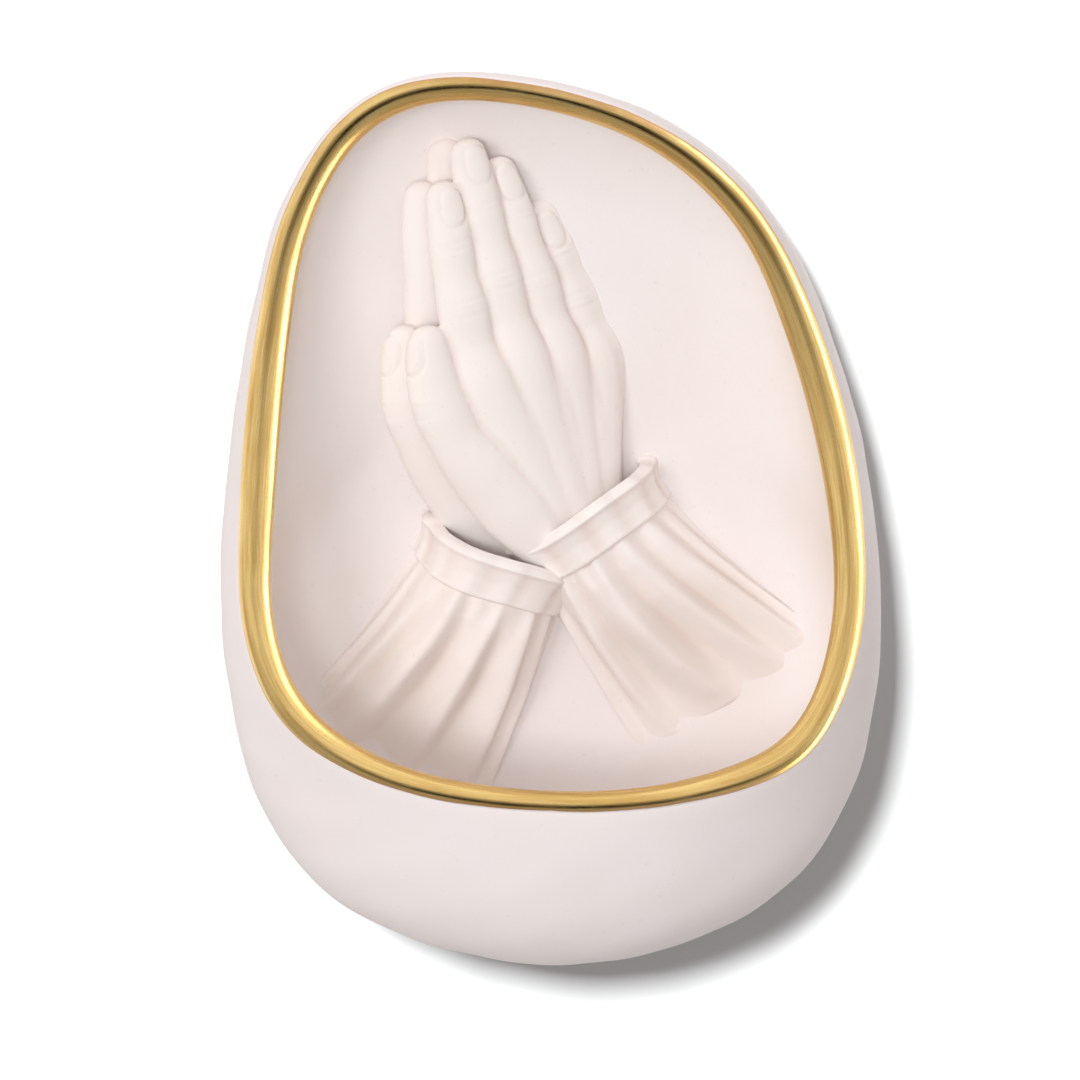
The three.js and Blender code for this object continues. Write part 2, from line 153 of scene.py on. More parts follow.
# Sums on the sockets of a finish's nodes
class Shade:
    def __init__(self, nodes, socket):
        self.nodes = nodes
        self.socket = socket

    def sum(self, operation, other, swapped=False):
        pair = (other, self) if swapped else (self, other)
        return self.nodes.add("Math", {"operation": operation}, {0: pair[0], 1: pair[1]})

    def __add__(self, other):
        return self.sum("ADD", other)

    def __radd__(self, other):
        return self.sum("ADD", other, True)

    def __sub__(self, other):
        return self.sum("SUBTRACT", other)

    def __rsub__(self, other):
        return self.sum("SUBTRACT", other, True)

    def __mul__(self, other):
        return self.sum("MULTIPLY", other)

    def __rmul__(self, other):
        return self.sum("MULTIPLY", other, True)


class Nodes:
    """A finish and its nodes; add() is the one way to make a node"""

    def __init__(self, owner):
        owner.use_nodes = True
        self.tree = owner.node_tree

    def add(self, kind, settings, values, out=0):
        node = self.tree.nodes.new("ShaderNode" + kind)
        for name, value in settings.items():
            setattr(node, name, value)
        for name, value in values.items():
            self.put(node, name, value)
        if isinstance(out, str):
            socket = next(s for s in node.outputs if s.name == out and s.enabled)
        else:
            socket = [s for s in node.outputs if s.enabled][out]
        return Shade(self, socket)

    def put(self, node, name, value):
        if isinstance(name, str):
            plug = next(s for s in node.inputs if s.name == name and s.enabled)
        else:
            plug = node.inputs[name]
        if isinstance(value, Shade):
            self.tree.links.new(value.socket, plug)
        else:
            plug.default_value = value

    def place(self):
        return self.add("TexCoord", {}, {}, "Object")

    def part(self, vector, axis):
        return self.add("SeparateXYZ", {}, {"Vector": vector}, axis)

    def noted(self, name):
        return self.add("Attribute", {"attribute_name": name}, {}, "Fac")

    def grain(self, where, scale, detail=2.0, roughness=0.5):
        return self.add("TexNoise", {}, {"Vector": where, "Scale": scale, "Detail": detail,
                                         "Roughness": roughness}, "Fac")

    def mix(self, share, first, second):
        return self.add("Mix", {"data_type": "RGBA"}, {"Factor": share, "A": first, "B": second}, "Result")

    def within(self, value, low, high):
        return self.add("MapRange", {"interpolation_type": "SMOOTHSTEP"},
                        {"Value": value, "From Min": low, "From Max": high})

    def bump(self, strength, height):
        return self.add("Bump", {}, {"Strength": strength, "Distance": BUMP_DEPTH, "Height": height},
                        "Normal")


def srgb(red, green, blue):
    shares = []
    for level in (red, green, blue):
        share = level / 255
        shares.append(share / 12.92 if level < 11 else ((share + 0.055) / 1.055) ** 2.4)
    return (*shares, 1.0)


WHITE = (1, 1, 1, 1)

# Grain of both finishes, as repeats to the metre
CLOUD = 38
BROAD = 160
RAGGED = 420
SPECKS = 900
SAND = 1300
FINE = 3600
BUMP_DEPTH = 0.3 * MM

# Bisque: a cloudy pale tone, a few specks, and a painted shade in the hollows that are noted on the piece
BISQUE = srgb(244, 239, 239)
# Lighter copy of the bisque for the relief: painted light for hands that turn away from the key light
BISQUE_RELIEF_PAINTED_LIGHT = srgb(248, 242, 239)
BISQUE_WARM = srgb(241, 232, 228)
# Colour of the specks, and also of the painted shade in the relief's hollows
BISQUE_SPECK_AND_SHADE = srgb(214, 190, 174)
# Painted warm shade on the niche's coved sides
BISQUE_COVE_SHADE = srgb(243, 228, 206)
WARM_SHARE = 0.45
SPECK_SHARE = 0.12
PAINTED_SHADE_SHARE = 0.55
BISQUE_BUMP = 0.22
BISQUE_ROUGHNESS = 0.56
BISQUE_GLOSS = 0.32


def bisque(name, plain_tone, shade_tone=None):
    material = bpy.data.materials.new(name)
    nodes = Nodes(material)
    where = nodes.place()
    cloud = nodes.within(nodes.grain(where, CLOUD, 3.0), 0.35, 0.72)
    speck = nodes.within(nodes.grain(where, SPECKS, 1.0), 0.70, 0.78)
    fine = nodes.grain(where, FINE, 2.0, 0.6)
    sand = nodes.grain(where, SAND, 3.0, 0.6)
    broad = nodes.grain(where, BROAD, 2.0)
    tone = nodes.mix(cloud * WARM_SHARE, plain_tone, BISQUE_WARM)
    tone = nodes.mix(speck * SPECK_SHARE, tone, BISQUE_SPECK_AND_SHADE)
    # Painted shade in the hollows noted on the piece
    if shade_tone:
        tone = nodes.mix(nodes.noted("painted_shade") * PAINTED_SHADE_SHARE, tone, shade_tone)
    surface = material.node_tree.nodes["Principled BSDF"]
    nodes.put(surface, "Base Color", tone)
    nodes.put(surface, "Roughness", BISQUE_ROUGHNESS + 0.2 * sand)
    nodes.put(surface, "Normal", nodes.bump(BISQUE_BUMP, fine * 0.35 + sand * 0.45 + broad * 0.9))
    nodes.put(surface, "Specular IOR Level", BISQUE_GLOSS)
    return material


# Gold drawn by brush over the bisque of the lip: solid in the middle, thin and broken at its edges. The
# strokes run along the lip, and "gold" is noted on it as the distance inside the gold's edge
GOLD = srgb(232, 200, 132)
GOLD_DEEP = srgb(204, 163, 94)
GOLD_THIN = srgb(170, 122, 82)
STROKES_ALONG = 60
STROKES_ACROSS = 1.6
GOLD_CLOUD = 90
GOLD_BUMP = 0.2
BARE_ROUGHNESS = 0.62
GOLD_POLISH = 0.44


def gilding(name):
    material = bpy.data.materials.new(name)
    nodes = Nodes(material)
    where = nodes.place()
    drawn = nodes.add("CombineXYZ", {}, {"X": nodes.part(where, "X") * STROKES_ALONG,
                                         "Y": nodes.part(where, "Z") * STROKES_ALONG,
                                         "Z": nodes.noted("across") * STROKES_ACROSS}, "Vector")
    strokes = nodes.grain(drawn, 1.0, 4.0, 0.6)
    cloud = nodes.grain(where, GOLD_CLOUD, 2.0)
    sand = nodes.grain(where, SAND, 3.0, 0.6)
    edge = 0.5 * (nodes.grain(where, RAGGED, 3.0) - 0.5) + 0.5 * (strokes - 0.5)
    inside = nodes.noted("gold") + edge
    gold = nodes.within(inside, -0.06, 0.08)
    thin = 1 - nodes.within(inside, 0.1, 0.9)
    metal = nodes.mix(nodes.within(strokes, 0.3, 0.75), GOLD, GOLD_DEEP)
    metal = nodes.mix(thin * 0.75, metal, GOLD_THIN)
    polish = GOLD_POLISH - 0.2 * strokes - 0.12 * thin
    surface = material.node_tree.nodes["Principled BSDF"]
    nodes.put(surface, "Base Color", nodes.mix(gold, BISQUE, metal))
    nodes.put(surface, "Metallic", gold * (1.0 - 0.3 * thin))
    nodes.put(surface, "Roughness", BARE_ROUGHNESS - gold * polish)
    nodes.put(surface, "Normal", nodes.bump(GOLD_BUMP, strokes * 0.9 + cloud * 0.9 + sand * 0.2))
    return material


cast_bisque = bisque("cast_bisque", BISQUE)
# The relief's bisque is painted lighter, and has painted shade in its hollows
relief_bisque_painted_light_and_shade = bisque("relief_bisque_painted_light_and_shade", BISQUE_RELIEF_PAINTED_LIGHT, BISQUE_SPECK_AND_SHADE)
# The niche's bisque has painted warm shade on its coved sides
niche_bisque_painted_shade = bisque("niche_bisque_painted_shade", BISQUE, BISQUE_COVE_SHADE)
brushed_gold = gilding("brushed_gold")


# How deep a point lies in the hollows of its piece, from 0 on open faces to 1: the share of painted shade
# there
def note_hollow_shade(piece, reach, passes):
    mesh = piece.data
    edges = np.empty(len(mesh.edges) * 2, dtype=int)
    mesh.edges.foreach_get("vertices", edges)
    one, other = edges.reshape(-1, 2).T
    places = points_of(piece)
    count = np.bincount(one, minlength=len(places)) + np.bincount(other, minlength=len(places))
    soft = places.copy()
    for _ in range(passes):
        total = np.zeros_like(soft)
        np.add.at(total, one, soft[other])
        np.add.at(total, other, soft[one])
        soft = total / np.maximum(count, 1)[:, None]
    painted_shade = np.einsum("ij,ij->i", soft - places, normals_of(piece)) / (reach * MM)
    note(piece, "painted_shade", np.clip(painted_shade, 0, 1))


# The cast is a little uneven, as it is when it is fettled by hand, except at the lip and at the wall. Each
# row has a height and two waves, with their turn for each mm of x, y and z and their start
UNEVEN = 0.16
UNEVEN_WAVES = [
    (1.0, (0.24, 0.0, 0.1, 0.6), (-0.07, 0.12, 0.2, 1.3)),
    (0.6, (0.41, 0.0, -0.17, 2.0), (0.15, -0.2, 0.33, 0.0)),
]
LIP_CLEAR = 14.0
WALL_CLEAR = 5.0


def press_by_hand(piece):
    places = points_of(piece) / MM
    x, y, z = places.T
    ring = points_of(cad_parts["gilt_rim"])[::12] / MM
    nearest = np.full(len(places), np.inf)
    for point in ring:
        nearest = np.minimum(nearest, np.linalg.norm(places - point, axis=1))
    free = np.clip(nearest / LIP_CLEAR - 0.2, 0, 1) * np.clip(-y / WALL_CLEAR - 0.4, 0, 1)
    uneven = np.zeros(len(places))
    for height, *waves in UNEVEN_WAVES:
        crossed = height
        for by_x, by_y, by_z, start in waves:
            crossed = crossed * np.sin(by_x * x + by_y * y + by_z * z + start)
        uneven += crossed
    move_points(piece, (places + normals_of(piece) * (UNEVEN * free * uneven)[:, None]) * MM)


def cast_half(node, name):
    piece = cast_from(node, name)
    subdivide(piece, 2)
    soften(piece, 0.5, 4)
    return piece


# Body: shell, niche and back. The niche's coved sides are painted with a warm shade that its panel lacks
COVE_SHADE = 0.8
BACK_EDGE = 0.5

shell = cast_half("outer_shell", "porcelain_shell")
press_by_hand(shell)
niche = cast_half("niche_liner", "porcelain_niche")
# Painted warm shade on the coved sides, none on the panel that faces the front
note(niche, "painted_shade", COVE_SHADE * (1 - np.abs(normals_of(niche)[:, 1])))
back = cast_from("back_plate", "porcelain_back")
modify(back, "BEVEL", width=BACK_EDGE * MM, segments=3, limit_method="ANGLE")

# Gilded lip: it reaches a little way down both sides, where it sinks into the bisque, and the gold is
# drawn over it. The gold's limits are set from the lip's two edges, at the top, the sides and the bottom
LIP_STEPS = 64
LIP_ROWS = 2
LIP_ROW = 0.8
LIP_FOOT = 0.2
LIP_FILM = 0.07
LIP_SINK = 0.3
GOLD_EDGE = -0.1
GOLD_OVER = 0.3
GOLD_FADE = 0.5
GOLD_OUT = (0.0, 0.8, 0.4)
GOLD_IN = (0.3, 0.6, 0.2)
GOLD_WANDER = 0.22


def around(angle, values):
    top, side, bottom = values
    share = np.sin(angle) ** 2
    return side * (1 - share) + np.where(np.sin(angle) > 0, top, bottom) * share


def wander(angle, phase):
    return (0.5 * np.sin(7 * angle + phase) + 0.3 * np.sin(13 * angle + 2.1 * phase)
            + 0.2 * np.sin(29 * angle + 0.7 * phase))


def lip_places(piece):
    """Each point's distance from the middle of the band, the band's half width there, and the point's
    height over the band's foot"""
    places = points_of(piece) / MM
    angle = np.arctan2(places[:, 2], places[:, 0])
    step = np.round(angle / (2 * math.pi) * LIP_STEPS).astype(int) % LIP_STEPS
    flat = np.column_stack([np.hypot(places[:, 0], places[:, 2]), -places[:, 1]])
    across, half, height = np.zeros((3, len(places)))
    for wanted in range(LIP_STEPS):
        here = np.flatnonzero(step == wanted)
        apart = np.linalg.norm(flat[here][:, None] - flat[here][None], axis=2)
        ends = flat[here][list(np.unravel_index(np.argmax(apart), apart.shape))]
        inner, outer = ends[np.argsort(ends.sum(axis=1))]
        half[here] = np.linalg.norm(outer - inner) / 2
        outward = (outer - inner) / np.linalg.norm(outer - inner)
        from_middle = flat[here] - (inner + outer) / 2
        across[here] = from_middle @ outward
        height[here] = np.abs(from_middle @ np.array([-outward[1], outward[0]]))
    return across, half, height


lip = cast_from("gilt_rim", "gold_lip")
across, half, height = lip_places(lip)
note(lip, "across", across)
note(lip, "half", half)
note(lip, "foot", np.where(height < LIP_FOOT, np.sign(across), 0))
for way in (1, -1):
    choose(lip, "VERT", np.flatnonzero(noted(lip, "foot") == way))
    in_edit(bpy.ops.mesh.select_mode, type="FACE")
    for row in range(LIP_ROWS):
        in_edit(bpy.ops.mesh.extrude_region_shrink_fatten,
                TRANSFORM_OT_shrink_fatten={"value": LIP_ROW * MM})
        moved = np.array([point.index for point in lip.data.vertices if point.select])
        across, half, foot = noted(lip, "across"), noted(lip, "half"), noted(lip, "foot")
        across[moved] = way * (half[moved] + (row + 1) * LIP_ROW)
        foot[moved] = 0
        note(lip, "across", across)
        note(lip, "foot", foot)
subdivide(lip, 2)
places = points_of(lip)
angle = np.arctan2(places[:, 2], places[:, 0])
across, half = noted(lip, "across"), noted(lip, "half")
gold_out = half + around(angle, GOLD_OUT) + GOLD_WANDER * wander(angle, 0.4)
gold_in = -half - around(angle, GOLD_IN) + GOLD_WANDER * wander(angle, 2.6)
gold = np.minimum(gold_out - across, across - gold_in)
sunk = np.clip((GOLD_EDGE - gold) / GOLD_FADE, 0, 1) * (np.abs(across) > half)
film = LIP_FILM - (LIP_FILM + LIP_SINK) * sunk
move_points(lip, places + normals_of(lip) * (film * MM)[:, None])
note(lip, "gold", gold + GOLD_OVER)

# Relief: the panel that it lies on, its place there, and the view that it shows of the hands
PANEL_DEPTH = 13.0
PANEL_CUT = 1.6
RELIEF_Z = -17.0
RELIEF_LEAN = math.radians(12)
RELIEF_TURN = math.radians(52)
RELIEF_FLATTEN = 0.62
RELIEF_CUT = -4.0
LEAN_COS = math.cos(RELIEF_LEAN)
LEAN_SIN = math.sin(RELIEF_LEAN)
FOOT_SPREAD = 0.55


def over_panel(piece):
    return -points_of(piece)[:, 1] / MM - PANEL_DEPTH


# The foot of a relief piece spreads a little where it meets the panel
def spread_foot(piece, height):
    normals = normals_of(piece)
    normals[:, 1] = 0
    low = np.clip(height - over_panel(piece), 0, height)
    move_points(piece, points_of(piece) + normals * (low ** 2 / height * FOOT_SPREAD * MM)[:, None])


# The painted shade in a relief's hollows gives way to the panel's own colour at the foot
def fade_foot(piece, height):
    note(piece, "painted_shade", noted(piece, "painted_shade") * np.clip(over_panel(piece) / height, 0, 1) ** 0.7)


# The back of a relief piece is cut off inside the wall of the panel
def cut_back(piece):
    choose_all(piece)
    in_edit(bpy.ops.mesh.bisect, plane_co=(0, (PANEL_CUT - PANEL_DEPTH) * MM, 0), plane_no=(0, 1, 0),
            clear_outer=True, use_fill=True)


# Hands: the joints of each digit as place towards the thumb, up the fingers and away from the other
# palm, with the half thickness there
HAND_BREADTH = 1.15
DIGITS = {
    "index": [(2.5, -6, 6.4, 5.2), (5.5, 10, 6.6, 5.2), (8.6, 22, 6.5, 5.0), (10.3, 30, 6.3, 4.85),
              (10.5, 36.5, 5.1, 3.95), (10.3, 43.5, 4.9, 4.05), (9.9, 49, 4.3, 3.5), (9.3, 54.5, 4.0, 3.5),
              (8.6, 60, 3.5, 3.15), (8.2, 62.8, 3.2, 2.9)],
    "middle": [(0.5, -6, 6.6, 5.4), (1.6, 10, 6.9, 5.3), (2.9, 23, 6.9, 5.1), (3.4, 31.5, 6.7, 5.0),
               (3.4, 39, 5.4, 4.05), (3.3, 46.5, 5.1, 4.15), (3.0, 53, 4.5, 3.55), (2.7, 59.5, 4.1, 3.55),
               (2.3, 65.5, 3.6, 3.2), (2.1, 68.6, 3.3, 2.95)],
    "ring": [(-1.5, -6, 6.4, 5.3), (-2.2, 10, 6.7, 5.2), (-3.4, 22.5, 6.6, 5.0), (-3.9, 30, 6.4, 4.8),
             (-3.8, 37, 5.2, 3.9), (-3.6, 44, 4.9, 4.0), (-3.4, 50, 4.3, 3.4), (-3.2, 56, 4.0, 3.4),
             (-3.0, 61.3, 3.5, 3.05), (-2.9, 64, 3.2, 2.8)],
    "little": [(-3.5, -6, 6.0, 5.0), (-6.0, 9, 6.2, 5.0), (-9.0, 20, 6.1, 4.8), (-10.6, 27.5, 5.8, 4.45),
               (-10.5, 33, 4.7, 3.5), (-10.1, 38.5, 4.4, 3.55), (-9.6, 43, 3.9, 3.05),
               (-9.1, 47.5, 3.6, 3.05), (-8.6, 51.6, 3.2, 2.75), (-8.4, 53.8, 3.0, 2.5)],
    "thumb": [(4, -3, 6, 5.4), (9.8, 6, 6.1, 5.9), (14.2, 15, 5.5, 5.4), (16.8, 21.5, 4.8, 4.45),
              (18.0, 27.8, 4.4, 4.5), (18.0, 33, 3.9, 4.1), (17.5, 37, 3.6, 3.6), (17.1, 39, 3.4, 3.2)],
}
FILLERS = {
    "thumb_web": [(7, 4, 5.6, 5.6), (10.6, 16, 5.2, 5.1), (11.8, 24, 4.9, 3.7), (11.6, 29, 4.8, 2.0)],
    "back_of_index": [(3.6, 2, 6.2, 5.3), (6.1, 18, 6.4, 5.1), (6.9, 28, 5.7, 4.5), (6.9, 34, 4.8, 2.7)],
    "back_of_middle": [(-0.2, 2, 6.4, 5.4), (-0.3, 18, 6.6, 5.2), (-0.2, 29, 5.9, 4.5),
                       (-0.2, 35, 4.9, 2.7)],
    "back_of_ring": [(-4.0, 2, 6.1, 5.2), (-6.5, 17, 6.2, 5.0), (-7.2, 26.5, 5.5, 4.3),
                     (-7.1, 32, 4.6, 2.5)],
}
WRISTS = {
    RIGHT: [(0.5, 18, 6.0, 2.5), (0.5, 9, 6.2, 5.4), (0.2, 0, 6.5, 6.5), (-0.9, -7, 7.7, 6.6),
            (-1.8, -11, 8.9, 5.2)],
    LEFT: [(0.5, 18, 6.0, 2.5), (0.5, 9, 6.2, 5.4), (1.0, 0, 7.0, 6.5), (3.0, -7, 9.6, 6.8),
           (5.0, -13, 12.6, 5.4)],
}
# Rounding of a finger's tip, as shares of its last half thickness: how far ahead, and how thick
ROUND_TIP = ((0.42, 0.92), (0.74, 0.69), (0.93, 0.39), (1.0, 0.05))
# Up the fingers: middle joint, end joint, end of the nail
KNUCKLES = {"index": (43.5, 54.5, 65.6), "middle": (46.5, 59.5, 71.5), "ring": (44, 56, 66.8),
            "little": (38.5, 47.5, 56.3), "thumb": (27.8, 27.8, 42.2)}
MIDDLE_CREASES = (-1.3, 0.0, 1.25)
END_CREASES = (-0.6, 0.6)
CREASE_DEPTH = 0.24
CREASE_WIDTH = 0.42
CREASE_BOW = 0.35
JOINT_SWELL = 0.2
JOINT_LENGTH = 2.4
THUMB_FROM = 15
NAIL_FROM_END = 4.4
NAIL_HALF_WIDTH = 0.72
NAIL_HALF_LENGTH = 3.3
NAIL_SQUARE = 2.6
NAIL_RISE = 0.14
NAIL_GROOVE = 0.28
NAIL_GROOVE_WIDTH = 0.13
HAND_VOXEL = 0.36


def limb(joints, round_tip):
    joints = [np.array(joint, dtype=float) for joint in joints]
    if round_tip:
        last = joints[-1]
        ahead = (last - joints[-2])[:3]
        ahead /= np.linalg.norm(ahead)
        for far, share in ROUND_TIP:
            joints.append(np.array([*(last[:3] + ahead * far * last[3]), last[3] * share]))
    bpy.ops.object.select_all(action="DESELECT")
    bpy.ops.curve.primitive_bezier_curve_add()
    path = bpy.context.object
    path.data.bevel_depth = MM
    path.data.bevel_resolution = 8
    path.data.resolution_u = 8
    path.data.use_fill_caps = True
    spline = path.data.splines[0]
    spline.bezier_points.add(len(joints) - 2)
    for point, (thumb, up, palm, half) in zip(spline.bezier_points, joints):
        point.co = Vector((thumb, palm, up)) * MM
        point.radius = half
        point.handle_left_type = "AUTO"
        point.handle_right_type = "AUTO"
    bpy.ops.object.convert(target="MESH")
    return bpy.context.object


def joined(pieces, name):
    bpy.ops.object.select_all(action="DESELECT")
    for piece in pieces:
        piece.select_set(True)
    bpy.context.view_layer.objects.active = pieces[0]
    bpy.ops.object.join()
    pieces[0].name = name
    return pieces[0]


# Creases over the finger joints, and the nails. A thumb's back looks the way the thumb points out
def carve_fingers(piece):
    places = points_of(piece) / MM
    normals = normals_of(piece)
    thumb, palm, up = places.T
    depth = np.zeros(len(places))
    for digit, (middle_joint, end_joint, nail_end) in KNUCKLES.items():
        rows = np.array(DIGITS[digit])
        half = np.interp(up, rows[:, 1], rows[:, 3])
        if digit == "thumb":
            side = (palm - np.interp(up, rows[:, 1], rows[:, 2])) / half
            facing = normals[:, 0] * (thumb > THUMB_FROM)
        else:
            side = (thumb - np.interp(up, rows[:, 1], rows[:, 0])) / half
            facing = normals[:, 1]
        on_back = np.clip(facing * 1.6, 0, 1) * bell(side, 0.85) * (np.abs(side) < 1.15)
        for joint, creases in ((middle_joint, MIDDLE_CREASES), (end_joint, END_CREASES)):
            for crease in creases:
                bowed = up - joint - crease + CREASE_BOW * side ** 2 * np.sign(crease)
                depth -= CREASE_DEPTH * bell(bowed, CREASE_WIDTH) * on_back
            depth += JOINT_SWELL * bell(up - joint, JOINT_LENGTH) * on_back
        along_nail = (up - nail_end + NAIL_FROM_END) / NAIL_HALF_LENGTH
        nail = np.abs(side / NAIL_HALF_WIDTH) ** NAIL_SQUARE + np.abs(along_nail) ** NAIL_SQUARE
        groove = NAIL_GROOVE * bell(nail ** 0.38 - 1, NAIL_GROOVE_WIDTH)
        depth += np.clip(facing * 2.5, 0, 1) * (NAIL_RISE * (nail < 1) - groove)
    move_points(piece, (places + normals * depth[:, None]) * MM)


# From a hand's own place to the panel
def hand_matrix(side):
    turn_cos, turn_sin = math.cos(RELIEF_TURN), math.sin(RELIEF_TURN)
    across = np.array([-HAND_BREADTH * turn_sin, side * turn_cos, 0, 0])
    forward = np.array([HAND_BREADTH * turn_cos, side * turn_sin, 0, -RELIEF_CUT * MM]) * RELIEF_FLATTEN
    up = np.array([0, 0, 1, 0])
    rows = [
        across * LEAN_COS - up * LEAN_SIN,
        -forward - np.array([0, 0, 0, PANEL_DEPTH * MM]),
        across * LEAN_SIN + up * LEAN_COS + np.array([0, 0, 0, RELIEF_Z * MM]),
        [0, 0, 0, 1],
    ]
    return Matrix([list(map(float, row)) for row in rows])


def hand(side, name):
    limbs = [limb(joints, True) for joints in DIGITS.values()]
    limbs += [limb(joints, False) for joints in [*FILLERS.values(), WRISTS[side]]]
    piece = joined(limbs, name)
    modify(piece, "REMESH", mode="VOXEL", voxel_size=HAND_VOXEL * MM)
    soften(piece, 0.5, 9)
    carve_fingers(piece)
    soften(piece, 0.4, 1)
    piece.data.transform(hand_matrix(side))
    outwards(piece)
    spread_foot(piece, 1.6)
    note_hollow_shade(piece, 0.35, 14)
    fade_foot(piece, 1.5)
    cut_back(piece)
    return piece


# Cuffs and sleeves: rings across a forearm that runs down from the wrist and bends outwards
WRIST_RISE = 3.0
ARM_OFFSET = 5.0
ARM_BEND = 6.0
ARM_SPREAD = {RIGHT: math.radians(20), LEFT: math.radians(34)}
CUFF_DROP = {RIGHT: 0.0, LEFT: 6.0}
CUFF_HALF_WIDTH = 15.0
CUFF_HEIGHT = 9.0
CUFF_RISE = 13.5
SLEEVE_TUCK = 1.8
SLEEVE_LENGTH = 38.0
SLEEVE_FLARE = 19.0
SLEEVE_RISE = 14.0
SLEEVE_BACK = 4.0


def on_panel(across, up, forward):
    return np.column_stack([across * LEAN_COS - up * LEAN_SIN, -(PANEL_DEPTH + forward),
                            RELIEF_Z + across * LEAN_SIN + up * LEAN_COS]) * MM


def along_arm(side, along, reach, forward):
    spread_sin, spread_cos = side * math.sin(ARM_SPREAD[side]), math.cos(ARM_SPREAD[side])
    bend = ARM_BEND * (along / (CUFF_HEIGHT + SLEEVE_LENGTH)) ** 2
    down = along + CUFF_DROP[side]
    across = side * (ARM_OFFSET + bend) + down * spread_sin + reach * spread_cos
    up = WRIST_RISE - down * spread_cos + reach * spread_sin
    return on_panel(across, up, forward)


def cloth_tube(name, corners, rings):
    """A closed tube, with each point's turn round the arm, its share of the way down and its share of
    the way out from the middle of an end"""
    bpy.ops.object.select_all(action="DESELECT")
    bpy.ops.mesh.primitive_cylinder_add(vertices=corners, radius=1, depth=1, end_fill_type="TRIFAN")
    piece = bpy.context.object
    piece.name = name
    places = points_of(piece)
    upright = [edge.index for edge in piece.data.edges
               if abs(places[edge.vertices[0], 2] - places[edge.vertices[1], 2]) > 0.5]
    choose(piece, "EDGE", upright)
    in_edit(bpy.ops.mesh.subdivide, number_cuts=rings)
    places = points_of(piece)
    turn = np.arctan2(places[:, 1], places[:, 0])
    return piece, turn, 0.5 - places[:, 2], np.hypot(places[:, 0], places[:, 1])


# Folds of the cloth, each with its place round the arm at the cuff and at the far end, its half width
# and its height; a fold is steeper on the side that looks away from the key light
FOLDS = {
    RIGHT: [(0.30, 0.22, 0.13, 1.7), (0.74, 0.55, 0.17, 2.6), (1.22, 1.05, 0.16, 2.2),
            (1.72, 1.66, 0.2, 2.9), (2.25, 2.36, 0.15, 2.0), (2.72, 2.9, 0.14, 1.8)],
    LEFT: [(0.36, 0.28, 0.14, 1.8), (0.86, 0.70, 0.18, 2.4), (1.38, 1.36, 0.16, 2.2),
           (1.88, 2.02, 0.2, 2.9), (2.36, 2.54, 0.15, 2.0), (2.80, 2.94, 0.12, 1.6)],
}
FOLD_STEEP = 0.6
FOLD_GENTLE = 1.6


def cloth_folds(side, turn, far):
    ripple = np.zeros(len(turn))
    for start, end, width, height in FOLDS[side]:
        away = turn - (start + (end - start) * far)
        ripple += height * bell(away, width * np.where(away < 0, FOLD_STEEP, FOLD_GENTLE))
    return ripple - 1.0


# A cuff from its lining over the hem and a stitched band to the sleeve: by share of the tube, the way
# down the arm and how far it lies inside; and by the way down, its width
CUFF_RUN = ([0, 0.22, 0.32, 0.42, 0.50, 0.60, 0.80, 0.88, 1],
            [6.0, 1.2, 0.1, -0.1, 0.5, 1.7, 7.0, 8.2, 9.0])
CUFF_INSET = ([0, 0.22, 0.32, 0.42, 0.50, 0.58, 0.62, 0.70, 0.80, 0.88, 1],
              [2.6, 2.4, 1.7, 0.9, 0.2, 0.05, 0.5, 0.6, 0.45, 0.2, 1.8])
CUFF_FLARE = ([0, 1.26, 4.5, 7.7, 9], [1.0, 1.06, 1.0, 0.98, 0.94])


def cuff(side, name):
    piece, turn, share, middle = cloth_tube(name, 160, 70)
    run = np.interp(share, *CUFF_RUN)
    flare = np.interp(run, *CUFF_FLARE)
    wave = 0.42 * cloth_folds(side, turn, 0) + 0.15 * np.sin(11 * turn + 1.3)
    lower = wave - np.interp(share, *CUFF_INSET)
    half = (CUFF_HALF_WIDTH * flare + lower) * middle
    rise = (CUFF_RISE * flare + lower) * middle
    run = run + (0.5 * np.sin(3 * turn + 1.1) - 0.25 * wave) * middle
    move_points(piece, along_arm(side, run, half * np.cos(turn), rise * np.sin(turn)))
    outwards(piece)
    soften(piece, 0.5, 4)
    spread_foot(piece, 1.2)
    note_hollow_shade(piece, 0.35, 10)
    fade_foot(piece, 1.5)
    cut_back(piece)
    return piece


# A sleeve by share of its length: its half width and rise, as shares of the full ones, and how high the
# folds stand. Small pleats gather it at the cuff
SLEEVE_ROWS = [0, 0.15, 0.35, 0.55, 0.75, 0.9, 1]
SLEEVE_WIDTHS = [0.68, 0.73, 0.79, 0.86, 0.93, 0.98, 1.0]
SLEEVE_RISES = [0.82, 0.81, 0.68, 0.46, 0.25, 0.1, 0.0]
FOLD_RISES = ([0, 0.12, 0.45, 0.7, 0.9, 1], [0.4, 0.9, 2.1, 2.0, 1.1, 0.25])
PLEAT_HEIGHT = 0.55
PLEAT_MIDDLE = 0.08
PLEAT_LENGTH = 0.14


